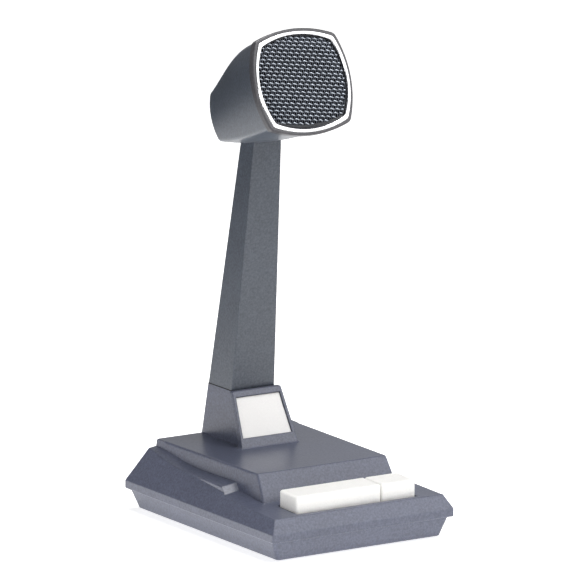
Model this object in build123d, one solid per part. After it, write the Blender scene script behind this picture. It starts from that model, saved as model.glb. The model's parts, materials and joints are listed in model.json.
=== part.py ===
"""Desk microphone on a weighted base, with a press-to-talk bar and a monitor key.

Lengths are millimetres. X runs to the user's right, Y away from the user, Z up.
The origin is the centre of the base's footprint, on the desk.
"""
from build123d import *
from math import atan, cos, degrees, hypot, pi, radians, sin, tan
import os

# Base outline
base_width = 114.0
base_depth = 148.0
foot_height = 1.0
foot_radius = 6.0
foot_seat = 0.8
rim_bottom_z = 11.7
rim_height = 4.5
cover_wall = 2.2
cover_round = 0.7

# Slopes above the rim, as run per rise
side_slope_share = 0.544
front_slope_share = 0.62
back_slope_share = 0.46
level_share = 0.85

# Ledge beside and in front of the platform; the shares are of the base's depth
# from the front, and of the rise from the ledge's front edge to the platform
ledge_z = 23.5
ledge_inner_x = 41.5
ledge_outer_x = 51.0
front_ledge_depth_shares = (0.0, 0.031, 0.128, 0.216, 0.264, 0.318, 0.41)
front_ledge_inner_shares = (0.0, 0.006, 0.032, 0.083, 0.141, 0.199, 0.277)
front_ledge_outer_shares = (0.0, 0.0, 0.019, 0.051, 0.077, 0.11, 0.197)
rear_ledge_depth_shares = (0.405, 0.53, 0.649, 0.709, 0.777, 0.845, 0.892, 0.946)
rear_ledge_inner_shares = (0.474, 0.478, 0.484, 0.524, 0.616, 0.706, 0.745, 0.763)
rear_ledge_outer_shares = (0.397, 0.400, 0.405, 0.423, 0.452, 0.500, 0.558, 0.654)
step_run = 3.9
step_rise = 3.6
strip_inset = 5.7
strip_taper_share = 0.041
strip_length = 60.0

# Platform
platform_z = 39.1
platform_front_margin = 40.7
platform_back_margin = 9.1
platform_front_width = 81.3
platform_back_width = 85.2
platform_front_slope_share = 0.58
platform_draft_share = 0.1
platform_round = 1.0
pedestal_foot_round = 2.0

# Bottom pan
pan_inset = 1.7
pan_side_taper = 4.0
pan_end_taper = 2.6
pan_wall = 2.2
pan_floor = 2.0
pan_corner_round = 2.4
pan_edge_round = 1.4
pan_tongue = 3.0
pan_gap = 0.3

# Column; front and back faces lean forward, and the sides draw in
column_foot_z = 67.5
column_top_z = 210.5
column_foot_width = 27.1
column_foot_front_y = 35.1
column_foot_depth = 23.5
column_side_share = 0.0362
column_front_lean_share = 0.1055
column_back_lean_share = 0.1805
column_wall = 1.8
column_round = 0.5
spigot_height = 9.0
pedestal_cap = 5.0
pedestal_wall = 2.4

# Raised frame and bare plate on the pedestal's front
plate_top_width = 27.6
plate_bottom_width = 31.0
plate_height = 22.45
plate_thickness = 0.8
plate_recess = 1.0
plate_centre_z = 54.3
plate_centre_y = 26.0
plate_lean = 25.9
frame_side = 1.7
frame_depth = 3.4
frame_top_z = 67.9
frame_round = 0.9

# Head, measured along its own axis from the front of the bezel
head_centre_y = -13.9
head_centre_z = 242.95
head_tilt = 19.94
head_wall = 2.0
bezel_depth = 3.6
bezel_corner_x = 24.8
bezel_corner_top = 23.5
bezel_corner_bottom = 24.3
bezel_side_bulge = 5.4
bezel_crown = 4.8
bezel_round = 0.9
bezel_spigot = 3.6
bezel_spigot_wall = 1.3
bezel_spigot_clearance = 0.9
bezel_ledge = 1.0
corner_arc = 3.6
head_length = 66.0
head_back_round = 3.0
head_depth_shares = (0.0, 0.25, 0.5, 0.74, 1.0)
head_corner_x_shares = (0.965, 0.921, 0.862, 0.794, 0.725)
head_corner_top_shares = (0.969, 0.935, 0.775, 0.545, 0.303)
head_corner_bottom_shares = (0.949, 0.935, 0.911, 0.863, 0.757)
head_bulge_shares = (0.97, 0.86, 0.74, 0.60, 0.46)
trim_inset = 1.5
trim_width = 1.9
trim_thickness = 1.5
trim_proud = 0.5
trim_round = 0.6
grille_thickness = 0.8
grille_pitch = 3.2
grille_gap = 2.2
grille_overlap = 0.35
foam_thickness = 3.0
baffle_thickness = 2.5
baffle_screw_x = 16.4
baffle_screw_up = 15.4
gusset_margin = 2.0
gusset_depth = 8.0
capsule_radius = 15.0
capsule_length = 24.0
capsule_cap = 2.0
capsule_cap_radius = 9.0
shock_ring_radius = 17.8
shock_ring_lip = 1.2
shock_ring_behind = 1.8

# Tie tube, saddle and nut that hold the head, the column and the base together
tie_radius = 4.0
tie_bore = 2.6
tie_below_cap = 9.0
tie_above_nut = 1.0
tie_nut_radius = 6.5
tie_nut_height = 4.0
washer_radius = 8.0
washer_thickness = 2.4
saddle_width = 32.0
saddle_depth = 15.0
saddle_thickness = 3.0
saddle_seat = 4.6
saddle_boss_radius = 3.4
saddle_boss_x = 12.2

# Keys
talk_bar_left = -36.4
key_split_x = 16.6
monitor_key_right = 38.1
key_split_gap = 0.5
key_front_margin = 8.6
key_back_margin = 26.0
key_top_z = 33.2
key_top_fall = 0.6
key_bottom_z = 19.0
key_wall = 1.8
key_round = 1.3
key_lip = 1.5
key_lip_height = 1.4
key_clearance = 0.6
key_front_clearance = 1.0
hinge_margin = 29.5
hinge_z = 19.0
hinge_radius = 1.25
hinge_clearance = 0.06
lug_radius = 2.5
lug_width = 4.0
post_radius = 2.6
spring_margin = 22.5
spring_length = 7.7

# Frame and switches under the keys
frame_sheet = 1.5
frame_plate_z = 7.0
frame_front_margin = 9.0
frame_back_margin = 33.5
ear_thickness = 1.5
ear_radius = 2.6
ear_gap = 0.3
shaft_overhang = 1.2
clip_thickness = 0.6
clip_radius = 2.4
frame_screw_x = 33.0
frame_screw_front_margin = 12.0
frame_screw_back_margin = 24.0
switch_length = 12.8
switch_width = 6.0
switch_height = 6.5
switch_margin = 16.0
talk_switch_x = -10.5
monitor_switch_x = 23.0
plunger_radius = 1.5
plunger_out = 1.8
plunger_in = 3.0
plunger_clearance = 0.05
seat_gap = 0.3
spring_radius = 2.4
spring_wire = 0.3
spring_turns = 5

# Ballast, board and what is on it
ballast_width = 80.0
ballast_depth = 60.0
ballast_height = 8.0
ballast_centre_y = 26.0
ballast_round = 1.5
ballast_screw_margin = 10.0
board_width = 74.0
board_depth = 24.0
board_thickness = 1.6
board_centre_y = -23.0
board_z = 8.0
board_screw_margin = 4.0
transformer_x = -18.0
transformer_width = 17.0
transformer_depth = 5.5
transformer_height = 11.0
coil_width = 10.5
coil_depth = 13.0
coil_height = 8.0
coil_round = 1.5
capacitor_radius = 3.2
capacitor_height = 11.0
capacitor_pitch = 9.0
capacitor_count = 3
capacitor_y = -30.0
terminal_x = 16.0
terminal_y = -17.0
terminal_width = 20.0
terminal_depth = 8.0
terminal_height = 8.0
terminal_ways = 4
terminal_way_radius = 1.6
terminal_way_depth = 2.0

# Fasteners and small parts
screw_radius = 1.5
screw_head_radius = 2.8
screw_head_height = 1.6
screw_bite = 6.0
screw_slot = 0.8
screw_clearance = 0.2
thread_clearance = 0.05
boss_radius = 3.6
case_screw_side_margin = 13.0
case_screw_end_margin = 14.0
foot_side_margin = 15.0
foot_end_margin = 28.0
gland_z = 6.9
gland_radius = 3.5
gland_flange_radius = 4.6
gland_flange = 1.6
gland_bore = 2.6
gland_seat = 2.7
gland_pad_width = 14.0
gland_pad_depth = 3.1
gland_nut_radius = 5.0
gland_nut_height = 2.6
gland_tail = 1.0

# Lead from the capsule, through the tube, to the terminal block
lead_radius = 1.1
lead_drop_z = 45.5
lead_middle = (8.0, 30.0, 24.0)
lead_straight = 18.0
lead_bend_share = 0.45

# Worked out once
front_y = -base_depth / 2
back_y = base_depth / 2
key_front_y = front_y + key_front_margin
key_back_y = front_y + key_back_margin
hinge_y = front_y + hinge_margin
spring_y = front_y + spring_margin
frame_front_y = front_y + frame_front_margin
frame_back_y = front_y + frame_back_margin
frame_screw_front_y = front_y + frame_screw_front_margin
frame_screw_back_y = front_y + frame_screw_back_margin
switch_y = front_y + switch_margin
case_screw_x = base_width / 2 - case_screw_side_margin
case_screw_y = back_y - case_screw_end_margin
foot_x = base_width / 2 - foot_side_margin
foot_y = back_y - foot_end_margin
rim_top_z = rim_bottom_z + rim_height
rise = platform_z - ledge_z
overrun = base_width
pan_floor_z = foot_height + pan_floor
head_lift = radians(head_tilt)
plate_tilt = radians(plate_lean)
frame_top = frame_plate_z + frame_sheet
switch_top = frame_top + switch_height
plunger_top = switch_top + plunger_out
tie_lean_share = (column_front_lean_share + column_back_lean_share) / 2
tie_foot_z = column_foot_z - pedestal_cap - tie_below_cap
saddle_top_z = column_top_z + saddle_seat
grille_inset = trim_inset + trim_width - grille_overlap
spigot_inset = (1 - head_corner_x_shares[0]) * bezel_corner_x + head_wall + bezel_spigot_clearance
baffle_inset = spigot_inset + bezel_spigot_wall + 2 * thread_clearance
grille_depth = trim_thickness - trim_proud + thread_clearance
foam_depth = grille_depth + grille_thickness + thread_clearance
baffle_depth = foam_depth + foam_thickness + thread_clearance
capsule_depth = baffle_depth + screw_clearance
cap_depth = capsule_depth + capsule_length


def box(x0, x1, y0, y1, z0, z1):
    """Box between two corners."""
    middle = Pos((x0 + x1) / 2, (y0 + y1) / 2, (z0 + z1) / 2)
    return middle * Box(x1 - x0, y1 - y0, z1 - z0)


def rod(x, y, z0, z1, radius):
    """Upright cylinder between two heights."""
    return Pos(x, y, (z0 + z1) / 2) * Cylinder(radius, z1 - z0)


def cross_rod(x0, x1, y, z, radius):
    """Cylinder along X."""
    return Pos((x0 + x1) / 2, y, z) * Rot(0, 90, 0) * Cylinder(radius, x1 - x0)


def prism(points, z0, z1):
    """Upright prism over a plan outline."""
    return extrude(Plane.XY.offset(z0) * make_face(Polyline(*points, close=True)), amount=z1 - z0)


def frustum(lower, z0, upper, z1):
    """Solid between two level outlines with as many corners each."""
    faces = [
        Plane.XY.offset(z) * make_face(Polyline(*points, close=True))
        for points, z in ((lower, z0), (upper, z1))
    ]
    return loft(faces, ruled=True)


def rectangle(half_width, y0, y1):
    """Plan outline of a rectangle centred on the YZ plane."""
    return [(-half_width, y0), (half_width, y0), (half_width, y1), (-half_width, y1)]


def lean(slope_share):
    """Horizontal thickness of a sloped wall, per unit of its real thickness."""
    return hypot(1, slope_share)


def with_mirror(shape):
    """A shape and its reflection across the YZ plane, as one."""
    return shape + mirror(shape, about=Plane.YZ)


# Cover

def slope_outline(z, inset):
    """Plan outline of the four slopes above the rim, at height z."""
    up = z - rim_top_z
    half = base_width / 2 - side_slope_share * up - inset * lean(side_slope_share)
    front = front_y + front_slope_share * up + inset * lean(front_slope_share)
    back = back_y - back_slope_share * up - inset * lean(back_slope_share)
    return rectangle(half, front, back)


def slopes(inset, z0):
    """Rim band and the slopes above it, up to the platform's height."""
    rim = slope_outline(rim_top_z, inset)
    return frustum(rim, z0, rim, rim_top_z) + frustum(
        rim, rim_top_z, slope_outline(platform_z, inset), platform_z
    )


def ledge_points(x, depths, inner, outer, drop):
    """Points along the ledge at one x, from front to back."""
    beyond = max((x - ledge_inner_x) / (ledge_outer_x - ledge_inner_x), 0)
    return [
        (front_y + depth * base_depth, ledge_z + (low + (high - low) * beyond) * rise - drop)
        for depth, low, high in zip(depths, inner, outer)
    ]


def ledge_section(x, lead_in, *ledge):
    """Face across the ledge at one x, from the desk up to the ledge."""
    points = ledge_points(x, *ledge)
    start = (points[0][0] - lead_in[0], points[0][1] - lead_in[1])
    end = (points[-1][0] + overrun, points[-1][1])
    outline = Polyline(start, points[0]) + Spline(*points)
    outline += Polyline(points[-1], end, (end[0], 0), (start[0], 0), start)
    return Plane.YZ.offset(x) * make_face(outline)


def ledge_block(lead_in, *ledge):
    """Everything under a ledge: level across the middle, tilted at the sides."""
    middle = extrude(ledge_section(ledge_inner_x, lead_in, *ledge), amount=-2 * ledge_inner_x)
    ends = [ledge_section(x, lead_in, *ledge) for x in (ledge_inner_x, base_width)]
    return middle + with_mirror(loft(ends, ruled=True))


def step_y(inset):
    """Top of the slanted face where the ledge steps up to the strips."""
    slant = step_rise / step_run
    return front_y + rear_ledge_depth_shares[0] * base_depth + inset * (lean(slant) - 1) / slant


def front_ledge(inset):
    """The lower ledge, carried on to the step."""
    block = ledge_block(
        (overrun, 0), front_ledge_depth_shares, front_ledge_inner_shares, front_ledge_outer_shares, inset
    )
    return block & box(-overrun, overrun, front_y - overrun, step_y(inset), 0, overrun)


def rear_ledge(inset):
    """The higher ledge, with the step's slanted face in front."""
    depths = [depth + (step_y(inset) - step_y(0)) / base_depth for depth in rear_ledge_depth_shares]
    return ledge_block(
        (2 * step_run, 2 * step_rise), depths, rear_ledge_inner_shares, rear_ledge_outer_shares, inset
    )


def strip_walls(inset):
    """Upright outer walls of the raised strips beside the platform."""
    y0 = step_y(0) - 2 * step_run + inset
    y1 = y0 + strip_length - inset
    x0 = base_width / 2 - strip_inset - inset
    x1 = x0 - strip_taper_share * strip_length
    outline = [(x0, y0), (x1, y1), (ledge_inner_x - inset, y1), (ledge_inner_x - inset, y0)]
    return with_mirror(prism(outline, rim_top_z, platform_z))


def platform_outline(z, inset):
    """Plan outline of the platform at height z."""
    down = platform_z - z
    draft = platform_draft_share * down - inset
    front = front_y + platform_front_margin - platform_front_slope_share * down
    front += inset * lean(platform_front_slope_share)
    back = back_y - platform_back_margin + draft
    return [
        (-platform_front_width / 2 - draft, front),
        (platform_front_width / 2 + draft, front),
        (platform_back_width / 2 + draft, back),
        (-platform_back_width / 2 - draft, back),
    ]


def platform(inset):
    """Raised console that carries the column."""
    top_z = platform_z - inset
    return frustum(platform_outline(rim_top_z, inset), rim_top_z, platform_outline(top_z, inset), top_z)


def cover_form(inset, z0):
    """Outer form of the cover, or its cavity when inset by the wall."""
    ledges = front_ledge(inset) + rear_ledge(inset)
    body = (slopes(inset, z0) + strip_walls(inset)) & ledges
    return body, platform(inset)


# Column and pedestal

def column_outline(z, inset=0):
    """Plan outline of the column, carried on below its foot."""
    up = z - column_foot_z
    half = column_foot_width / 2 - column_side_share * up - inset
    front = column_foot_front_y - column_front_lean_share * up + inset
    back = column_foot_front_y + column_foot_depth - column_back_lean_share * up - inset
    return rectangle(half, front, back)


def column_axis_y(z):
    """Middle of the column from front to back at height z."""
    return column_foot_front_y + column_foot_depth / 2 - tie_lean_share * (z - column_foot_z)


def plate_y(z):
    """Y of the bare plate's front face at height z."""
    return plate_centre_y + (z - plate_centre_z) * tan(plate_tilt)


def pedestal_outline(z, inset=0):
    """Column outline at height z, carried forward to the back of the frame."""
    outline = column_outline(z, inset)
    front = plate_y(z) + frame_depth - plate_recess + inset
    half = outline[1][0]
    return rectangle(half, front, outline[2][1])


def frame_half_width(z):
    """Half width of the raised frame at height z."""
    taper = (plate_bottom_width - plate_top_width) / 2 / (plate_height * cos(plate_tilt))
    return (plate_top_width + plate_bottom_width) / 4 + frame_side - taper * (z - plate_centre_z)


def frame_outline(z):
    """Plan outline of the raised frame at height z."""
    front = plate_y(z) - plate_recess
    return rectangle(frame_half_width(z), front, front + frame_depth)


def plate_plane():
    """Plane of the bare plate's front face, with Y running up the slope."""
    return Plane(
        origin=(0, plate_centre_y, plate_centre_z),
        x_dir=(1, 0, 0),
        z_dir=(0, -cos(plate_tilt), sin(plate_tilt)),
    )


def plate_face(margin):
    """Trapezoid of the bare plate, grown by a margin."""
    top = plate_top_width / 2 + margin
    bottom = plate_bottom_width / 2 + margin
    up = plate_height / 2 + margin
    return make_face(Polyline((-top, up), (top, up), (bottom, -up), (-bottom, -up), close=True))


def build_name_plate():
    """Bare white plate that lies in the frame's recess."""
    return extrude(plate_plane() * plate_face(0), amount=-plate_thickness)


def pedestal():
    """Wedge under the column with the raised frame on its front."""
    sunk_z = platform_z - cover_wall
    wedge = frustum(pedestal_outline(sunk_z), sunk_z, pedestal_outline(column_foot_z), column_foot_z)
    frame = frustum(frame_outline(sunk_z), sunk_z, frame_outline(frame_top_z), frame_top_z)
    frame = fillet(frame.faces().sort_by(Axis.Z)[-1].edges(), frame_round)
    pocket = plate_plane().offset(-plate_thickness) * plate_face(seat_gap / 2)
    pocket = extrude(pocket, amount=plate_thickness + plate_recess + frame_depth)
    spigot_top = column_foot_z + spigot_height
    inside = column_wall + seat_gap / 2
    spigot = frustum(
        column_outline(column_foot_z, inside), column_foot_z, column_outline(spigot_top, inside), spigot_top
    )
    return wedge + frame - pocket + spigot


def pedestal_cavity():
    """Hollow under the pedestal's cap, open to the base."""
    top_z = column_foot_z - pedestal_cap
    low_z = platform_z - 2 * cover_wall
    return frustum(
        pedestal_outline(low_z, pedestal_wall), low_z, pedestal_outline(top_z, pedestal_wall), top_z
    )


def on_tie(z):
    """Place on the column's axis at height z, with its Z up along that axis."""
    return Pos(0, column_axis_y(z), z) * Rot(degrees(atan(tie_lean_share)), 0, 0)


def tie_rod(z0, z1, radius):
    """Cylinder along the column's axis between two of its heights, with square ends."""
    long = (z1 - z0) * lean(tie_lean_share)
    return on_tie(z0) * Pos(0, 0, long / 2) * Cylinder(radius, long)


# Openings and bosses of the cover

def key_opening():
    """Slot through the ledge for both keys."""
    return box(
        talk_bar_left - key_clearance,
        monitor_key_right + key_clearance,
        key_front_y - key_front_clearance,
        key_back_y + key_clearance,
        pan_floor_z,
        platform_z,
    )


def case_screw_places():
    """The four corners where the pan is screwed to the cover."""
    return [(x, y) for x in (-case_screw_x, case_screw_x) for y in (-case_screw_y, case_screw_y)]


def round_cover(body):
    """Cover below the platform with its rim, hips, ledge borders and steps rounded."""
    chosen = [edge for edge in body.edges() if min((edge @ 0).Z, (edge @ 1).Z) < rim_top_z + seat_gap]
    level_faces = [face for face in body.faces() if face.normal_at().Z > level_share]
    for edge in [edge for face in level_faces for edge in face.edges()]:
        start, end = edge @ 0, edge @ 1
        on_seam = abs(start.X - end.X) < seat_gap and abs(abs(start.X) - ledge_inner_x) < seat_gap
        at_foot = step_y(0) - step_run * 3 / 2 < start.Y < step_y(0) - step_run / 2
        if not on_seam and not (at_foot and abs(start.Y - end.Y) < step_run / 2):
            chosen.append(edge)
    return fillet(chosen, cover_round)


def round_platform(console):
    """Platform with its top edges and its four corners rounded."""
    corners = [edge for edge in console.edges() if abs((edge @ 0).Z - (edge @ 1).Z) > rise / 2]
    return fillet(console.faces().sort_by(Axis.Z)[-1].edges() + corners, platform_round)


def blend_frame_foot(outside):
    """Cover with the foot of the plate's frame blended into the platform."""
    foot = [edge for edge in outside.edges() if foot_of_frame(edge)]
    return fillet(foot, pedestal_foot_round)


def foot_of_frame(edge):
    """True for an edge where the front or a cheek of the frame meets the platform."""
    start, middle, end = edge @ 0, edge @ 0.5, edge @ 1
    level = max(abs(start.Z - platform_z), abs(end.Z - platform_z)) < seat_gap / 2
    narrow = abs(middle.X) < plate_bottom_width / 2 + frame_depth
    return level and narrow and front_y + platform_front_margin * 2 < middle.Y < plate_centre_y - frame_depth


def build_top_cover():
    """Moulded cover: rim, slopes, ledges, strips, platform, pedestal and screw bosses."""
    body, console = cover_form(0, rim_bottom_z)
    body = round_cover(body)
    inner_body, inner_console = cover_form(cover_wall, 0)
    outside = blend_frame_foot(body + round_platform(console) + pedestal())
    bosses = Part()
    for x, y in case_screw_places():
        bosses += rod(x, y, pan_floor_z + seat_gap, platform_z, boss_radius)
    cover = outside - (inner_body + inner_console + pedestal_cavity())
    cover += bosses & (body + console)
    for x, y in case_screw_places():
        cover -= rod(x, y, 0, pan_floor_z + screw_bite + seat_gap, screw_radius + thread_clearance)
    cover -= key_opening()
    return cover - tie_rod(tie_foot_z, column_foot_z + 2 * spigot_height, tie_radius + screw_clearance)


# Screws

def screw_from_above(x, y, seat_z, length):
    """Slotted screw with its head on top of a level seat."""
    top_z = seat_z + screw_head_height
    screw = rod(x, y, seat_z, top_z, screw_head_radius) + rod(x, y, seat_z - length, seat_z, screw_radius)
    return screw - box(
        x - screw_head_radius,
        x + screw_head_radius,
        y - screw_slot / 2,
        y + screw_slot / 2,
        top_z - screw_slot,
        top_z,
    )


def screw_from_below(x, y, length):
    """Slotted screw half sunk in the pan's floor, from underneath."""
    low_z = foot_height - screw_head_height / 2
    seat_z = foot_height + screw_head_height / 2
    screw = rod(x, y, low_z, seat_z, screw_head_radius) + rod(x, y, seat_z, seat_z + length, screw_radius)
    return screw - box(
        x - screw_head_radius,
        x + screw_head_radius,
        y - screw_slot / 2,
        y + screw_slot / 2,
        low_z,
        low_z + screw_slot,
    )


def all_of(shapes):
    """Separate solids in one piece of the model."""
    group = Part()
    for shape in shapes:
        group += shape
    return group


def case_screw_length():
    """Reach of the screws that hold pan and cover together."""
    return pan_floor_z + screw_bite - foot_height - screw_head_height / 2


def build_case_screws():
    """Screws through the pan into the cover's bosses."""
    return all_of(screw_from_below(x, y, case_screw_length()) for x, y in case_screw_places())


# Pan

def rounded(half_width, y0, y1, radius):
    """Plan outline of a rectangle with round corners."""
    return Pos(0, (y0 + y1) / 2) * RectangleRounded(2 * half_width, y1 - y0, radius)


def pan_form(inset, z0):
    """Tapered body of the pan from one height up to the rim's underside."""
    half = base_width / 2 - pan_inset - inset
    top = rounded(half, front_y + pan_inset + inset, back_y - pan_inset - inset, pan_corner_round)
    low = rounded(
        half - pan_side_taper,
        front_y + pan_inset + pan_end_taper + inset,
        back_y - pan_inset - pan_end_taper - inset,
        pan_corner_round,
    )
    return loft([Plane.XY.offset(z0) * low, Plane.XY.offset(rim_bottom_z) * top], ruled=True)


def pan_tongue_form():
    """Upright rib on the pan's edge that centres the cover."""
    corner, _, far_corner, _ = slope_outline(rim_top_z, cover_wall)
    outline = rounded(-corner[0] - pan_gap, corner[1] + pan_gap, far_corner[1] - pan_gap, pan_corner_round)
    half = base_width / 2 - pan_inset - pan_wall
    reach = back_y - pan_inset - pan_wall
    outline -= rounded(half, -reach, reach, pan_corner_round)
    return extrude(Plane.XY.offset(rim_bottom_z) * outline, amount=pan_tongue)


def foot_places():
    """Centres of the rubber feet."""
    return [(x, y) for x in (-foot_x, foot_x) for y in (-foot_y, foot_y)]


def ballast_screw_places():
    """Screws up into the ballast plate."""
    x = ballast_width / 2 - ballast_screw_margin
    y = ballast_depth / 2 - ballast_screw_margin
    return [(side * x, ballast_centre_y + end * y) for side in (-1, 1) for end in (-1, 1)]


def board_screw_places():
    """Screws at the circuit board's corners."""
    x = board_width / 2 - board_screw_margin
    y = board_depth / 2 - board_screw_margin
    return [(side * x, board_centre_y + end * y) for side in (-1, 1) for end in (-1, 1)]


def frame_screw_places():
    """Screws at the key frame's corners."""
    ends = (frame_screw_front_y, frame_screw_back_y)
    return [(x, y) for x in (-frame_screw_x, frame_screw_x) for y in ends]


def gland_seat_y():
    """Where the gland's flange sits on the pan's back wall."""
    return back_y - pan_inset - gland_seat


def build_bottom_pan():
    """Pan that closes the base, with bosses for everything it carries."""
    pan = pan_form(0, foot_height)
    pan = fillet(pan.faces().sort_by(Axis.Z)[0].edges(), pan_edge_round)
    pad = box(
        -gland_pad_width / 2,
        gland_pad_width / 2,
        gland_seat_y() - gland_pad_depth,
        back_y,
        pan_floor_z,
        rim_bottom_z,
    )
    pad &= pan
    pan -= pan_form(pan_wall, pan_floor_z)
    pan += pad + pan_tongue_form()
    for x, y in board_screw_places():
        pan += rod(x, y, pan_floor_z, board_z, boss_radius)
        pan -= rod(x, y, pan_floor_z, board_z, screw_radius + thread_clearance)
    for x, y in frame_screw_places():
        pan += rod(x, y, pan_floor_z, frame_plate_z, boss_radius)
        pan -= rod(x, y, pan_floor_z, frame_plate_z, screw_radius + thread_clearance)
    for x, y in ballast_screw_places() + case_screw_places():
        pan -= rod(x, y, 0, pan_floor_z, screw_radius + screw_clearance)
        pan -= rod(x, y, 0, foot_height + screw_head_height / 2, screw_head_radius + screw_clearance)
    for x, y in foot_places():
        pan -= rod(x, y, 0, foot_height + foot_seat, foot_radius + thread_clearance)
    seat_y = gland_seat_y()
    pan -= along_y(seat_y - gland_pad_depth, back_y, gland_z, gland_radius + thread_clearance)
    return pan - along_y(seat_y, back_y, gland_z, gland_flange_radius + screw_clearance)


def along_y(y0, y1, z, radius):
    """Cylinder along Y on the middle plane."""
    return Pos(0, (y0 + y1) / 2, z) * Rot(90, 0, 0) * Cylinder(radius, y1 - y0)


def build_rubber_feet():
    """Four round feet in their seats under the pan."""
    return all_of(rod(x, y, 0, foot_height + foot_seat, foot_radius) for x, y in foot_places())


def build_cord_gland():
    """Flanged sleeve that the cord would enter by."""
    seat_y = gland_seat_y()
    tail_y = seat_y - gland_pad_depth - gland_nut_height - gland_tail
    gland = along_y(seat_y, seat_y + gland_flange, gland_z, gland_flange_radius)
    gland = fillet(gland.edges().sort_by(Axis.Y)[-1], gland_flange / 2)
    gland += along_y(tail_y, seat_y, gland_z, gland_radius)
    return gland - along_y(tail_y, back_y, gland_z, gland_bore)


def build_gland_nut():
    """Round nut that holds the gland from inside the pan."""
    inner_y = gland_seat_y() - gland_pad_depth
    nut = along_y(inner_y - gland_nut_height, inner_y, gland_z, gland_nut_radius)
    nut &= box(-overrun, overrun, front_y, back_y, pan_floor_z + thread_clearance, overrun)
    return nut - along_y(front_y, back_y, gland_z, gland_radius + thread_clearance)


# Ballast and board

def build_ballast_plate():
    """Steel weight on the pan's floor."""
    y0 = ballast_centre_y - ballast_depth / 2
    y1 = ballast_centre_y + ballast_depth / 2
    half = ballast_width / 2
    plate = box(-half, half, y0, y1, pan_floor_z, pan_floor_z + ballast_height)
    plate = fillet(plate.edges().filter_by(Axis.Z), ballast_round)
    for x, y in ballast_screw_places():
        plate -= rod(x, y, pan_floor_z, pan_floor_z + screw_bite, screw_radius + thread_clearance)
    return plate


def build_ballast_screws():
    """Screws from under the pan into the ballast."""
    length = pan_floor_z + screw_bite - foot_height - screw_head_height
    return all_of(screw_from_below(x, y, length) for x, y in ballast_screw_places())


def build_circuit_board():
    """Board on the pan's standoffs."""
    y0 = board_centre_y - board_depth / 2
    y1 = board_centre_y + board_depth / 2
    board = box(-board_width / 2, board_width / 2, y0, y1, board_z, board_z + board_thickness)
    for x, y in board_screw_places():
        board -= rod(x, y, board_z, board_z + board_thickness, screw_radius + screw_clearance)
    return board


def build_board_screws():
    """Screws through the board into the standoffs."""
    top_z = board_z + board_thickness
    length = top_z - pan_floor_z - thread_clearance
    return all_of(screw_from_above(x, y, top_z, length) for x, y in board_screw_places())


def block_on_board(x, y, width, depth, height):
    """Box that stands on the board."""
    low_z = board_z + board_thickness
    return box(x - width / 2, x + width / 2, y - depth / 2, y + depth / 2, low_z, low_z + height)


def build_transformer():
    """Laminated core with its round-edged coil."""
    core = block_on_board(
        transformer_x, board_centre_y, transformer_width, transformer_depth, transformer_height
    )
    coil = block_on_board(transformer_x, board_centre_y, coil_width, coil_depth, coil_height)
    return core + fillet(coil.edges().filter_by(Axis.Z), coil_round)


def build_capacitors():
    """Row of upright capacitors."""
    low_z = board_z + board_thickness
    return all_of(
        rod(place * capacitor_pitch, capacitor_y, low_z, low_z + capacitor_height, capacitor_radius)
        for place in range(capacitor_count)
    )


def build_terminal_block():
    """Screw terminals that the lead and the cord's wires go to."""
    block = block_on_board(terminal_x, terminal_y, terminal_width, terminal_depth, terminal_height)
    top_z = board_z + board_thickness + terminal_height
    pitch = terminal_width / terminal_ways
    for way in range(terminal_ways):
        x = terminal_x + (way - (terminal_ways - 1) / 2) * pitch
        block -= rod(x, terminal_y, top_z - terminal_way_depth, top_z, terminal_way_radius)
    return block


# Key frame, shaft and switches

def ear_spans():
    """X range of each ear: outside both keys, and between them."""
    left = talk_bar_left - ear_gap
    right = monitor_key_right + ear_gap
    return [
        (left - ear_thickness, left),
        (key_split_x - ear_thickness / 2, key_split_x + ear_thickness / 2),
        (right, right + ear_thickness),
    ]


def build_key_frame():
    """Sheet on the pan's bosses, with three ears for the shaft."""
    spans = ear_spans()
    frame = box(spans[0][0], spans[-1][1], frame_front_y, frame_back_y, frame_plate_z, frame_top)
    for x0, x1 in spans:
        frame += box(x0, x1, hinge_y - ear_radius, hinge_y + ear_radius, frame_plate_z, hinge_z)
        frame += cross_rod(x0, x1, hinge_y, hinge_z, ear_radius)
    for x, y in frame_screw_places():
        frame -= rod(x, y, frame_plate_z, frame_top, screw_radius + screw_clearance)
    return frame - cross_rod(spans[0][0], spans[-1][1], hinge_y, hinge_z, hinge_radius + hinge_clearance)


def build_frame_screws():
    """Screws through the frame's sheet into the pan's bosses."""
    length = frame_top - pan_floor_z - thread_clearance
    return all_of(screw_from_above(x, y, frame_top, length) for x, y in frame_screw_places())


def build_key_shaft():
    """Shaft that both keys turn on."""
    spans = ear_spans()
    return cross_rod(
        spans[0][0] - shaft_overhang, spans[-1][1] + shaft_overhang, hinge_y, hinge_z, hinge_radius
    )


def build_shaft_clips():
    """Rings that keep the shaft in the outer ears."""
    spans = ear_spans()
    half = clip_thickness / 2
    clips = Part()
    for x in (spans[0][0] - thread_clearance - half, spans[-1][1] + thread_clearance + half):
        clips += cross_rod(x - half, x + half, hinge_y, hinge_z, clip_radius)
    bore = hinge_radius + thread_clearance
    return clips - cross_rod(-base_width / 2, base_width / 2, hinge_y, hinge_z, bore)


def build_switch(x):
    """Push switch on the frame, bored for its plunger."""
    case = box(
        x - switch_length / 2,
        x + switch_length / 2,
        switch_y - switch_width / 2,
        switch_y + switch_width / 2,
        frame_top,
        switch_top,
    )
    case = fillet(case.edges().filter_by(Axis.Z), switch_width / 8)
    bore = plunger_radius + plunger_clearance
    return case - rod(x, switch_y, switch_top - plunger_in - plunger_out, switch_top, bore)


def build_plunger(x):
    """Round-topped plunger of a switch."""
    plunger = rod(x, switch_y, switch_top - plunger_in, plunger_top, plunger_radius)
    return fillet(plunger.edges().sort_by(Axis.Z)[-1], plunger_radius / 3)


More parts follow.
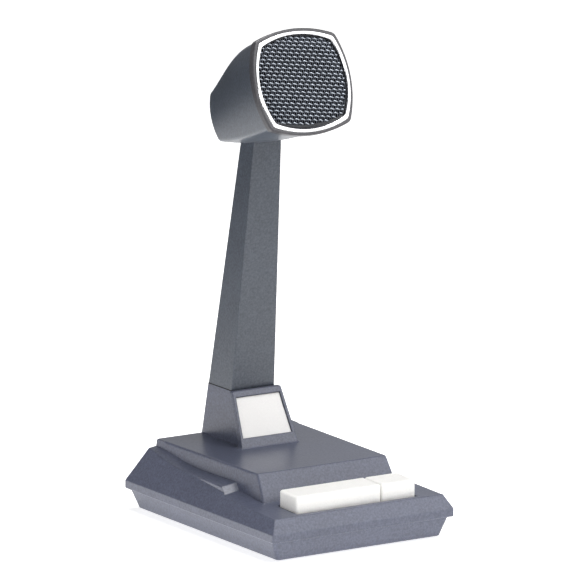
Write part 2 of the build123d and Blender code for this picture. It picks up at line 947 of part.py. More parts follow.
def build_spring(x):
    """Helical spring between the frame and a key."""
    low_z = frame_top + spring_wire + thread_clearance
    long = spring_length - 2 * (spring_wire + thread_clearance)
    path = Helix(long / spring_turns, long, spring_radius)
    path = Pos(x, spring_y, low_z) * path
    wire = Plane(origin=path @ 0, z_dir=path % 0) * Circle(spring_wire)
    return sweep(wire, path)


# Keys

def key_profile(inset):
    """Side view of a key, or of its hollow when inset."""
    low_z = key_bottom_z if inset == 0 else hinge_z - lug_radius
    return [
        (key_front_y + inset, low_z),
        (key_back_y - inset, low_z),
        (key_back_y - inset, key_top_z - inset),
        (key_front_y + inset, key_top_z - key_top_fall - inset),
    ]


def key_block(x0, x1, inset):
    """Key profile carried along X."""
    face = Plane.YZ.offset(x0 + inset) * make_face(Polyline(*key_profile(inset), close=True))
    return extrude(face, amount=x1 - x0 - 2 * inset)


def key_lug(x0, x1):
    """Arm from the key's back wall to the shaft."""
    low_z = hinge_z - lug_radius
    arm = box(x0, x1, key_back_y - key_wall, hinge_y, low_z, hinge_z + lug_radius)
    return arm + cross_rod(x0, x1, hinge_y, hinge_z, lug_radius)


def build_key(x0, x1, lug_places, switch_x):
    """Hollow key with a front lip, two lugs on the shaft and posts for plunger and spring."""
    shell = key_block(x0, x1, 0)
    low_edges = shell.faces().sort_by(Axis.Z)[0].edges()
    shell = fillet([edge for edge in shell.edges() if edge not in low_edges], key_round)
    hollow = key_block(x0, x1, key_wall)
    lip_z = ledge_z - cover_wall - seat_gap
    key = shell - hollow
    key += box(
        x0 + key_round,
        x1 - key_round,
        key_front_y - key_lip,
        key_front_y + key_wall,
        lip_z - key_lip_height,
        lip_z,
    )
    for lug_x in lug_places:
        key += key_lug(lug_x, lug_x + lug_width)
    roof_z = key_top_z - key_top_fall - key_wall / 2
    key += rod(switch_x, switch_y, plunger_top + seat_gap, roof_z, post_radius)
    key += rod(switch_x, spring_y, frame_top + spring_length, roof_z, post_radius)
    return key - cross_rod(x0, x1, hinge_y, hinge_z, hinge_radius + hinge_clearance)


def build_talk_bar():
    """Wide press-to-talk key."""
    right = key_split_x - key_split_gap / 2
    lug_right = ear_spans()[1][0] - ear_gap - lug_width
    return build_key(talk_bar_left, right, (talk_bar_left, lug_right), talk_switch_x)


def build_monitor_key():
    """Short key at the right."""
    left = key_split_x + key_split_gap / 2
    lug_left = ear_spans()[1][1] + ear_gap
    return build_key(left, monitor_key_right, (lug_left, monitor_key_right - lug_width), monitor_switch_x)


# Column and what holds the head on it

def build_column():
    """Tapered hollow column on the pedestal's spigot."""
    outside = frustum(
        column_outline(column_foot_z), column_foot_z, column_outline(column_top_z), column_top_z
    )
    inside = frustum(
        column_outline(column_foot_z, column_wall),
        column_foot_z,
        column_outline(column_top_z, column_wall),
        column_top_z,
    )
    corners = [edge for edge in outside.edges() if abs((edge @ 0).Z - (edge @ 1).Z) > column_foot_depth]
    return fillet(corners, column_round) - inside


def tie_top_z():
    """Height of the tube's upper end."""
    return saddle_top_z + tie_nut_height + tie_above_nut


def build_tie_tube():
    """Threaded tube that pulls head, column and base together."""
    top_z = tie_top_z()
    return tie_rod(tie_foot_z, top_z, tie_radius) - tie_rod(tie_foot_z, top_z, tie_bore)


def washer_low_z():
    """Height of the wedge washer's lower face on the column's axis."""
    return column_foot_z - pedestal_cap - washer_thickness


def build_tie_washer():
    """Wedge that gives the lower nut a square seat under the level cap."""
    low_z = washer_low_z()
    washer = tie_rod(low_z, low_z + 3 * washer_thickness, washer_radius)
    washer &= box(-overrun, overrun, front_y, back_y, 0, column_foot_z - pedestal_cap)
    return washer - tie_rod(tie_foot_z, column_foot_z, tie_radius + screw_clearance)


def tie_nut(z):
    """Hexagon nut on the tube, up from the axis point at height z."""
    nut = on_tie(z) * extrude(RegularPolygon(tie_nut_radius, 6), amount=tie_nut_height)
    return nut - tie_rod(tie_foot_z, tie_top_z(), tie_radius + thread_clearance)


def build_tie_nuts():
    """Nuts under the pedestal's cap and on the saddle."""
    below = washer_low_z() - (tie_nut_height + thread_clearance) / lean(tie_lean_share)
    return tie_nut(below) + tie_nut(saddle_top_z)


def build_head_saddle():
    """Plate on the column's top and the head's bosses, with a square seat for the nut."""
    y = column_axis_y(column_top_z)
    plate = box(
        -saddle_width / 2,
        saddle_width / 2,
        y - saddle_depth / 2,
        y + saddle_depth / 2,
        column_top_z,
        column_top_z + saddle_thickness,
    )
    plate = fillet(plate.edges().filter_by(Axis.Z), saddle_thickness / 2)
    seat = tie_rod(column_top_z + saddle_thickness / 2, saddle_top_z, tie_nut_radius)
    plate += seat
    for x in (-saddle_boss_x, saddle_boss_x):
        plate -= rod(x, y, column_top_z, column_top_z + saddle_thickness, screw_radius + screw_clearance)
    return plate - tie_rod(column_foot_z, tie_top_z(), tie_radius + screw_clearance)


def build_saddle_screws():
    """Screws from the saddle into the head's bosses."""
    y = column_axis_y(column_top_z)
    seat_z = column_top_z + saddle_thickness
    return all_of(
        screw_from_above(x, y, seat_z, saddle_thickness + screw_bite / 2)
        for x in (-saddle_boss_x, saddle_boss_x)
    )


# Head

def head_plane(depth):
    """Plane across the head's axis, with Y up it and Z towards the talker."""
    face = Plane(
        origin=(0, head_centre_y, head_centre_z),
        x_dir=(1, 0, 0),
        z_dir=(0, -cos(head_lift), sin(head_lift)),
    )
    return face.offset(-depth)


def head_slab(face, depth0, depth1):
    """Face across the head carried from one depth to another."""
    return extrude(head_plane(depth1) * face, amount=depth1 - depth0)


def front_edges(piece):
    """Edges of a head piece's foremost face."""
    axis = Axis((0, head_centre_y, head_centre_z), (0, cos(head_lift), -sin(head_lift)))
    return piece.faces().sort_by(axis)[0].edges()


def head_rod(x, up, depth0, depth1, radius):
    """Cylinder along the head's axis."""
    return head_slab(Pos(x, up) * Circle(radius), depth0, depth1)


def head_outline(corner_x, top, bottom, bulge, crown, corner_radius):
    """Four bulged sides with small round corners."""
    corners = [(corner_x, top), (-corner_x, top), (-corner_x, -bottom), (corner_x, -bottom)]
    middle = (top - bottom) / 2
    crests = [
        (0, top + crown),
        (-corner_x - bulge, middle),
        (0, -bottom - crown),
        (corner_x + bulge, middle),
    ]
    sides = [ThreePointArc(corners[k], crests[k], corners[(k + 1) % 4]) for k in range(4)]
    face = make_face(sides)
    return fillet(face.vertices(), corner_radius)


def bezel_outline(inset):
    """Outline of the bezel's front, drawn in by an inset."""
    return head_outline(
        bezel_corner_x - inset,
        bezel_corner_top - inset,
        bezel_corner_bottom - inset,
        bezel_side_bulge,
        bezel_crown,
        corner_arc * (bezel_corner_x - inset) / bezel_corner_x,
    )


def head_ring(outer_inset, inner_inset, depth0, depth1):
    """Frame between two insets of the bezel's outline."""
    return head_slab(bezel_outline(outer_inset), depth0, depth1) - head_slab(
        bezel_outline(inner_inset), depth0, depth1
    )


def shell_section(place, inset):
    """Face across the head's shell at one of its stations."""
    width_share = head_corner_x_shares[place]
    return head_outline(
        width_share * bezel_corner_x - inset,
        head_corner_top_shares[place] * bezel_corner_top - inset,
        head_corner_bottom_shares[place] * bezel_corner_bottom - inset,
        head_bulge_shares[place] * bezel_side_bulge,
        head_bulge_shares[place] * bezel_crown,
        width_share * corner_arc,
    )


def shell_form(inset):
    """Outer form of the head behind the bezel, or its cavity when inset by the wall."""
    long = head_length - inset - bezel_depth
    sections = [
        head_plane(bezel_depth + share * long) * shell_section(place, inset)
        for place, share in enumerate(head_depth_shares)
    ]
    return loft(sections)


def gusset(side, end):
    """Corner block of the shell behind the baffle, before it is cut to the shell's form."""
    x0 = side * (baffle_screw_x - gusset_margin)
    up0 = end * (baffle_screw_up - gusset_margin)
    corner = Pos((x0 + side * overrun) / 2, (up0 + end * overrun) / 2)
    face = corner * Rectangle(abs(side * overrun - x0), abs(end * overrun - up0))
    depth = baffle_depth + baffle_thickness
    return head_slab(face, depth, depth + gusset_depth)


def baffle_corners():
    """Screw places of the baffle, as signs across and up."""
    return [(side, end) for side in (-1, 1) for end in (-1, 1)]


def build_head_shell():
    """Back of the head, open at the bezel, with corner gussets and bosses for the saddle."""
    outside = shell_form(0)
    outside = fillet(outside.faces().sort_by(Axis.Y)[-1].edges(), head_back_round)
    shell = outside - shell_form(head_wall)
    for side, end in baffle_corners():
        shell += gusset(side, end) & outside
    y = column_axis_y(column_top_z)
    for x in (-saddle_boss_x, saddle_boss_x):
        shell += rod(x, y, column_foot_z, column_top_z, saddle_boss_radius) & outside
    for side, end in baffle_corners():
        depth = baffle_depth + baffle_thickness
        shell -= head_rod(
            side * baffle_screw_x,
            end * baffle_screw_up,
            depth,
            depth + screw_bite,
            screw_radius + thread_clearance,
        )
    for x in (-saddle_boss_x, saddle_boss_x):
        shell -= rod(x, y, column_top_z - screw_bite / 2, column_top_z, screw_radius + thread_clearance)
    return shell - frustum(
        column_outline(column_foot_z, -screw_clearance),
        column_foot_z,
        column_outline(column_top_z, -screw_clearance),
        column_top_z,
    )


def build_head_bezel():
    """Front frame: lip round the trim ring, pocket and ledge for the grille, spigot in the shell."""
    seat = trim_thickness - trim_proud
    lip = head_slab(bezel_outline(0), 0, seat)
    bezel = fillet(front_edges(lip), bezel_round) - head_slab(bezel_outline(trim_inset), 0, seat)
    bezel += head_ring(0, grille_inset - thread_clearance, seat, bezel_depth - bezel_ledge)
    inner = spigot_inset + bezel_spigot_wall
    bezel += head_ring(0, inner, bezel_depth - bezel_ledge, bezel_depth)
    return bezel + head_ring(spigot_inset, inner, bezel_depth, bezel_depth + bezel_spigot)


def build_trim_ring():
    """Bright round-edged ring pressed into the bezel in front of the grille."""
    ring = head_ring(
        trim_inset + thread_clearance,
        trim_inset + trim_width,
        -trim_proud,
        trim_thickness - trim_proud,
    )
    return fillet(front_edges(ring), trim_round)


def build_grille():
    """Net with a short skirt that stands on the bezel's ledge."""
    skirt = grille_inset + grille_thickness
    across = int((bezel_corner_x - skirt) / grille_pitch)
    upward = int((bezel_corner_top - skirt) / grille_pitch)
    gaps = [
        Pos(column * grille_pitch, row * grille_pitch) * Rectangle(grille_gap, grille_gap)
        for column in range(-across, across + 1)
        for row in range(-upward, upward + 1)
    ]
    face = bezel_outline(grille_inset) - gaps
    grille = head_slab(face, grille_depth, grille_depth + grille_thickness)
    return grille + head_ring(
        grille_inset, skirt, grille_depth + grille_thickness, bezel_depth - bezel_ledge
    )


def build_foam_pad():
    """Foam screen behind the net, notched round the baffle's screws."""
    pad = head_slab(bezel_outline(baffle_inset + thread_clearance), foam_depth, foam_depth + foam_thickness)
    for side, end in baffle_corners():
        pad -= head_rod(
            side * baffle_screw_x,
            end * baffle_screw_up,
            foam_depth,
            baffle_depth,
            screw_head_radius + screw_clearance,
        )
    return pad


def build_baffle():
    """Plate that carries the capsule in its rubber ring."""
    depth = baffle_depth + baffle_thickness
    plate = head_slab(bezel_outline(baffle_inset), baffle_depth, depth)
    for side, end in baffle_corners():
        plate -= head_rod(
            side * baffle_screw_x, end * baffle_screw_up, baffle_depth, depth, screw_radius + screw_clearance
        )
    return plate - head_rod(0, 0, baffle_depth, depth, shock_ring_radius + thread_clearance)


def build_baffle_screws():
    """Screws through the baffle into the shell's gussets."""
    end_depth = baffle_depth + baffle_thickness + screw_bite - thread_clearance
    screws = Part()
    for side, end in baffle_corners():
        x = side * baffle_screw_x
        up = end * baffle_screw_up
        screws += head_rod(x, up, baffle_depth - screw_head_height, baffle_depth, screw_head_radius)
        screws += head_rod(x, up, baffle_depth, end_depth, screw_radius)
    return screws


def build_shock_ring():
    """Rubber ring between the baffle and the capsule, with a lip behind the baffle."""
    back = baffle_depth + baffle_thickness
    ring = head_rod(0, 0, baffle_depth, back + shock_ring_behind, shock_ring_radius)
    ring += head_rod(
        0, 0, back + thread_clearance, back + shock_ring_behind, shock_ring_radius + shock_ring_lip
    )
    return ring - head_rod(
        0, 0, baffle_depth, back + shock_ring_behind, capsule_radius + thread_clearance
    )


def build_capsule():
    """Dynamic capsule along the head's axis."""
    capsule = head_rod(0, 0, capsule_depth, cap_depth, capsule_radius)
    return fillet(capsule.edges().sort_by(Axis.Y)[-1], capsule_cap / 2)


def build_capsule_cap():
    """Insulated cap on the capsule's back, where the lead starts."""
    return head_rod(0, 0, cap_depth, cap_depth + capsule_cap, capsule_cap_radius)


# Lead

def lead_route():
    """Points from the capsule's cap, down the column's axis, to the terminal block."""
    reach = column_axis_y(head_centre_z) - head_centre_y
    turn_depth = reach / (cos(head_lift) - tie_lean_share * sin(head_lift))
    end_y = terminal_y + terminal_depth / 2
    end_z = board_z + board_thickness + terminal_height / 2
    return [
        head_plane(cap_depth + capsule_cap).origin,
        head_plane(turn_depth).origin,
        Vector(0, column_axis_y(lead_drop_z), lead_drop_z),
        Vector(*lead_middle),
        Vector(terminal_x, end_y + lead_straight, end_z),
        Vector(terminal_x, end_y, end_z),
    ]


def bend_radii(points):
    """Largest arc at each inner point that its two runs allow."""
    radii = []
    for before, here, after in zip(points, points[1:], points[2:]):
        turn = radians((here - before).get_angle(after - here))
        run = min((here - before).length, (after - here).length)
        radii.append(lead_bend_share * run / tan(turn / 2))
    return radii


def build_mic_lead():
    """Screened lead through the tube."""
    points = lead_route()
    radii = bend_radii(points)
    print("lead bend radii", [round(radius, 1) for radius in radii])
    path = FilletPolyline(*points, radius=radii)
    end = Plane(origin=path @ 0, z_dir=path % 0)
    lead = sweep(end * Circle(lead_radius), path)
    print("lead volume", round(lead.volume), "of", round(pi * lead_radius**2 * path.length))
    return lead


PARTS = {
    "top_cover": build_top_cover,
    "name_plate": build_name_plate,
    "bottom_pan": build_bottom_pan,
    "case_screws": build_case_screws,
    "rubber_feet": build_rubber_feet,
    "cord_gland": build_cord_gland,
    "gland_nut": build_gland_nut,
    "ballast_plate": build_ballast_plate,
    "ballast_screws": build_ballast_screws,
    "circuit_board": build_circuit_board,
    "board_screws": build_board_screws,
    "transformer": build_transformer,
    "capacitors": build_capacitors,
    "terminal_block": build_terminal_block,
    "key_frame": build_key_frame,
    "frame_screws": build_frame_screws,
    "key_shaft": build_key_shaft,
    "shaft_clips": build_shaft_clips,
    "talk_switch": lambda: build_switch(talk_switch_x),
    "talk_plunger": lambda: build_plunger(talk_switch_x),
    "talk_spring": lambda: build_spring(talk_switch_x),
    "talk_bar": build_talk_bar,
    "monitor_switch": lambda: build_switch(monitor_switch_x),
    "monitor_plunger": lambda: build_plunger(monitor_switch_x),
    "monitor_spring": lambda: build_spring(monitor_switch_x),
    "monitor_key": build_monitor_key,
    "column": build_column,
    "tie_tube": build_tie_tube,
    "tie_washer": build_tie_washer,
    "tie_nuts": build_tie_nuts,
    "head_saddle": build_head_saddle,
    "saddle_screws": build_saddle_screws,
    "head_shell": build_head_shell,
    "head_bezel": build_head_bezel,
    "trim_ring": build_trim_ring,
    "grille": build_grille,
    "foam_pad": build_foam_pad,
    "baffle": build_baffle,
    "baffle_screws": build_baffle_screws,
    "shock_ring": build_shock_ring,
    "capsule": build_capsule,
    "capsule_cap": build_capsule_cap,
    "mic_lead": build_mic_lead,
}


def main():
    """Build every piece and write its file."""
    os.makedirs("parts", exist_ok=True)
    for name, build in PARTS.items():
        piece = build()
        export_step(piece, f"parts/{name}.step")
        print(name, len(piece.solids()), round(piece.volume, 1))


if __name__ == "__main__":
    main()
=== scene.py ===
"""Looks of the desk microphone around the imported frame."""
import json
import math

import bmesh
import bpy
from mathutils import Matrix, Vector


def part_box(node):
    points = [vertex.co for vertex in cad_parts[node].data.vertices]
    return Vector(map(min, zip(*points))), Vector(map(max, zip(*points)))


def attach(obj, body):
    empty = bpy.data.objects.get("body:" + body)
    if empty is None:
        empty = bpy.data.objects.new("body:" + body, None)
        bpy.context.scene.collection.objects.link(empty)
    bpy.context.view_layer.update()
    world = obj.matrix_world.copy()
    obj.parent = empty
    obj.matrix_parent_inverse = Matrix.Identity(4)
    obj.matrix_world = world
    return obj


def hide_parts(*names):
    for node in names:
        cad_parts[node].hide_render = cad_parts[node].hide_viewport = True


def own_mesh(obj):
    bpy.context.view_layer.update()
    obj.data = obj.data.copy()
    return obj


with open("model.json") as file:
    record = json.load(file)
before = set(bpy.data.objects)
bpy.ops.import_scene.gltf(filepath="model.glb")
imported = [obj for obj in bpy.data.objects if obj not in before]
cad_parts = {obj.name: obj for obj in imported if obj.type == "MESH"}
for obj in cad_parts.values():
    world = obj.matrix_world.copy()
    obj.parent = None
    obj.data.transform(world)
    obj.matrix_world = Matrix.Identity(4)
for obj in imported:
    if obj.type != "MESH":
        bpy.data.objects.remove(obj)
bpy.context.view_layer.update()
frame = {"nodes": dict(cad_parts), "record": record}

MM = 0.001
WHITE = (1.0, 1.0, 1.0, 1.0)

# Camera

PHOTO_PIXELS = 580
FOCAL_PIXELS = 7925.76
SENSOR_WIDTH = 36.0
VIEW_AZIMUTH = math.radians(-32.69)
VIEW_ELEVATION = math.radians(12.198)
VIEW_ROLL = math.radians(0.096)
VIEW_DISTANCE = 4.20944
VIEW_TARGET = Vector((0.00092, 0.0, 0.127537))


def make_camera():
    back = Vector((math.sin(VIEW_AZIMUTH) * math.cos(VIEW_ELEVATION),
                   -math.cos(VIEW_AZIMUTH) * math.cos(VIEW_ELEVATION),
                   math.sin(VIEW_ELEVATION)))
    right = Vector((math.cos(VIEW_AZIMUTH), math.sin(VIEW_AZIMUTH), 0.0))
    up = back.cross(right)
    turned = Matrix.Rotation(VIEW_ROLL, 3, back)
    right, up = turned @ right, turned @ up
    data = bpy.data.cameras.new("camera")
    data.sensor_width = SENSOR_WIDTH
    data.lens = SENSOR_WIDTH * FOCAL_PIXELS / PHOTO_PIXELS
    camera = bpy.data.objects.new("camera", data)
    bpy.context.scene.collection.objects.link(camera)
    camera.matrix_world = Matrix.Translation(VIEW_TARGET + back * VIEW_DISTANCE) @ Matrix(
        (right, up, back)).transposed().to_4x4()
    bpy.context.scene.camera = camera


# Light and floor

WINDOW = Vector((0.6, -0.75, 0.28)).normalized()
WINDOW_FADE = (0.25, 0.85)
BACKDROP = Vector((0.53, 0.83, 0.2)).normalized()
BACKDROP_FADE = (0.75, 0.97)
ROOM_SEEN = 0.2
BACKDROP_SEEN = 0.54
ROOM_LIGHT = 0.1
FLOOR_SIZE = 14.0
FLOOR_ROUGH = 0.9
# To rays other than the camera's the floor is a painted pool of light: its colour dims from
# FLOOR_COLOUR to FLOOR_DIM, and its painted glow fades from FLOOR_LIFT to nothing, between
# FLOOR_NEAR and FLOOR_FAR.
FLOOR_NEAR, FLOOR_FAR = 0.22, 0.95
FLOOR_COLOUR = 0.86
FLOOR_DIM = 0.12
FLOOR_GLOW = 0.78
FLOOR_LIFT = 0.9

# Each lamp's place, aim, size and power, in metres and watts.
LAMPS = {
    "key": ((0.14, -0.25, 1.6), (0.0, 0.0, 0.1), (0.9, 0.9), 24.0),
    "front_fill": ((1.16, -1.69, 1.05), (0.0, 0.0, 0.14), (2.1, 1.7), 21.5),
    "side_fill": ((-1.5, -0.3, 0.16), (0.0, 0.0, 0.05), (1.2, 0.3), 8.0),
}


def eased(tree, value, start, end, low, high):
    """Value carried smoothly from low at the start to high at the end."""
    node = tree.nodes.new("ShaderNodeMapRange")
    node.interpolation_type = "SMOOTHSTEP"
    for socket, number in (("From Min", start), ("From Max", end),
                           ("To Min", low), ("To Max", high)):
        node.inputs[socket].default_value = number
    tree.links.new(value, node.inputs["Value"])
    return node.outputs["Result"]


def blended(tree, factor, first, second):
    """The first value where the factor is 0, and the second where it is 1."""
    node = tree.nodes.new("ShaderNodeMix")
    tree.links.new(factor, node.inputs["Factor"])
    for socket, value in (("A", first), ("B", second)):
        if isinstance(value, float):
            node.inputs[socket].default_value = value
        else:
            tree.links.new(value, node.inputs[socket])
    return node.outputs["Result"]


def larger(tree, first, second):
    node = tree.nodes.new("ShaderNodeMath")
    node.operation = "MAXIMUM"
    tree.links.new(first, node.inputs[0])
    tree.links.new(second, node.inputs[1])
    return node.outputs[0]


def facing(tree, place, direction):
    """How nearly a place in the world lies in a direction."""
    node = tree.nodes.new("ShaderNodeVectorMath")
    node.operation = "DOT_PRODUCT"
    tree.links.new(place, node.inputs[0])
    node.inputs[1].default_value = direction
    return node.outputs["Value"]


def make_world():
    """White to the camera, a window side and a backdrop in reflections, and else a faint light."""
    world = bpy.data.worlds.new("studio")
    world.use_nodes = True
    bpy.context.scene.world = world
    tree = world.node_tree
    background = tree.nodes["Background"]
    background.inputs["Color"].default_value = WHITE
    place = tree.nodes.new("ShaderNodeTexCoord").outputs["Generated"]
    window = eased(tree, facing(tree, place, WINDOW), *WINDOW_FADE, ROOM_SEEN, 1.0)
    backdrop = eased(tree, facing(tree, place, BACKDROP), *BACKDROP_FADE, ROOM_SEEN, BACKDROP_SEEN)
    path = tree.nodes.new("ShaderNodeLightPath")
    mirrored = larger(tree, path.outputs["Is Glossy Ray"], path.outputs["Is Transmission Ray"])
    around = blended(tree, mirrored, ROOM_LIGHT, larger(tree, window, backdrop))
    strength = blended(tree, path.outputs["Is Camera Ray"], around, 1.0)
    tree.links.new(strength, background.inputs["Strength"])


def make_floor():
    """Pale flat floor: even to the camera; to other rays a painted pool of light whose colour dims
    with distance, and a painted glow that fades with distance.
    """
    bpy.ops.mesh.primitive_plane_add(size=FLOOR_SIZE, location=(0.0, 0.0, 0.0))
    floor = bpy.context.object
    floor.name = "floor"
    look = bpy.data.materials.new("floor_white")
    look.use_nodes = True
    tree = look.node_tree
    shader = tree.nodes["Principled BSDF"]
    shader.inputs["Roughness"].default_value = FLOOR_ROUGH
    shader.inputs["Specular IOR Level"].default_value = 0.0
    shader.inputs["Emission Color"].default_value = WHITE
    reach = tree.nodes.new("ShaderNodeVectorMath")
    reach.operation = "LENGTH"
    tree.links.new(tree.nodes.new("ShaderNodeTexCoord").outputs["Object"], reach.inputs[0])
    painted_light_pool = eased(tree, reach.outputs["Value"], FLOOR_NEAR, FLOOR_FAR, FLOOR_COLOUR, FLOOR_DIM)
    # Painted glow that lights the object from below, fading with distance.
    lift = eased(tree, reach.outputs["Value"], FLOOR_NEAR, FLOOR_FAR, FLOOR_LIFT, 0.0)
    camera = tree.nodes.new("ShaderNodeLightPath").outputs["Is Camera Ray"]
    tree.links.new(blended(tree, camera, painted_light_pool, FLOOR_COLOUR), shader.inputs["Base Color"])
    tree.links.new(blended(tree, camera, lift, FLOOR_GLOW), shader.inputs["Emission Strength"])
    floor.data.materials.append(look)


def make_lamp(name, place, aim, size, power):
    """Soft rectangular lamp that points from its place to its aim."""
    data = bpy.data.lights.new(name, "AREA")
    data.shape = "RECTANGLE"
    data.size, data.size_y = size
    data.energy = power
    lamp = bpy.data.objects.new(name, data)
    bpy.context.scene.collection.objects.link(lamp)
    lamp.location = place
    lamp.rotation_euler = (Vector(aim) - Vector(place)).to_track_quat("-Z", "Y").to_euler()


# Materials

def linear(red, green, blue):
    """Linear colour of an 8-bit screen colour."""
    def one(v):
        v /= 255.0
        return v / 12.92 if v <= 0.04045 else ((v + 0.055) / 1.055) ** 2.4
    return (one(red), one(green), one(blue), 1.0)


def noise(tree, coords, scale, detail, roughness):
    node = tree.nodes.new("ShaderNodeTexNoise")
    node.inputs["Scale"].default_value = scale
    node.inputs["Detail"].default_value = detail
    node.inputs["Roughness"].default_value = roughness
    tree.links.new(coords, node.inputs["Vector"])
    return node.outputs["Fac"]


def ramp(tree, value, stops):
    """Colour of a value between stops of place and colour."""
    node = tree.nodes.new("ShaderNodeValToRGB")
    elements = node.color_ramp.elements
    while len(elements) < len(stops):
        elements.new(0.5)
    for element, (place, colour) in zip(elements, stops):
        element.position = place
        element.color = colour
    tree.links.new(value, node.inputs["Fac"])
    return node.outputs["Color"]


def spread(tree, value, low, high):
    node = tree.nodes.new("ShaderNodeMapRange")
    node.inputs["To Min"].default_value = low
    node.inputs["To Max"].default_value = high
    tree.links.new(value, node.inputs["Value"])
    return node.outputs["Result"]


def bump(tree, height, strength, distance, under=None):
    node = tree.nodes.new("ShaderNodeBump")
    node.inputs["Strength"].default_value = strength
    node.inputs["Distance"].default_value = distance
    tree.links.new(height, node.inputs["Height"])
    if under is not None:
        tree.links.new(under, node.inputs["Normal"])
    return node.outputs["Normal"]


FINE_NOISE = (2.0, 0.6)
WIDE_NOISE = (1.0, 0.55)
FINE_SHARE = 0.85
TONE_PLACES = (0.34, 0.5, 0.66)
SCATTER_DEPTH = 4.0


def finish(name, colour, shade=0.12, rough=(0.45, 0.6), metallic=0.0, specular=0.5,
           grain=900.0, grain_depth=0.05, grain_strength=0.35, blotch=45.0,
           stretch=(1.0, 1.0, 1.0), edge=0.0, scatter=0.0):
    """Moulded, painted or turned surface: soft blotches, a fine grain in colour and relief.

    The radius of its edges, edge, and the depth of its grain, grain_depth, are in millimetres.
    """
    look = bpy.data.materials.new(name)
    look.use_nodes = True
    tree = look.node_tree
    shader = tree.nodes["Principled BSDF"]
    shader.inputs["Metallic"].default_value = metallic
    shader.inputs["Specular IOR Level"].default_value = specular
    shader.inputs["Subsurface Weight"].default_value = scatter
    shader.inputs["Subsurface Radius"].default_value = (1.0, 1.0, 1.0)
    shader.inputs["Subsurface Scale"].default_value = SCATTER_DEPTH * MM
    place = tree.nodes.new("ShaderNodeTexCoord").outputs["Object"]
    if stretch != (1.0, 1.0, 1.0):
        mapping = tree.nodes.new("ShaderNodeMapping")
        mapping.inputs["Scale"].default_value = stretch
        tree.links.new(place, mapping.inputs["Vector"])
        place = mapping.outputs["Vector"]
    base = linear(*colour)
    dark = tuple(c * (1.0 - shade) for c in base[:3]) + (1.0,)
    light = tuple(min(1.0, c * (1.0 + shade)) for c in base[:3]) + (1.0,)
    fine = noise(tree, place, grain, *FINE_NOISE)
    wide = noise(tree, place, blotch, *WIDE_NOISE)
    mixed = tree.nodes.new("ShaderNodeMath")
    mixed.operation = "MULTIPLY_ADD"
    tree.links.new(fine, mixed.inputs[0])
    mixed.inputs[1].default_value = FINE_SHARE
    weighed = tree.nodes.new("ShaderNodeMath")
    weighed.operation = "MULTIPLY"
    tree.links.new(wide, weighed.inputs[0])
    weighed.inputs[1].default_value = 1.0 - FINE_SHARE
    tree.links.new(weighed.outputs[0], mixed.inputs[2])
    tone = ramp(tree, mixed.outputs[0], list(zip(TONE_PLACES, (dark, base, light))))
    tree.links.new(tone, shader.inputs["Base Color"])
    tree.links.new(spread(tree, wide, *rough), shader.inputs["Roughness"])
    rounded = None
    if edge:
        rounding = tree.nodes.new("ShaderNodeBevel")
        rounding.inputs["Radius"].default_value = edge * MM
        rounded = rounding.outputs["Normal"]
    relief = bump(tree, fine, grain_strength, grain_depth * MM, rounded)
    tree.links.new(relief, shader.inputs["Normal"])
    return look


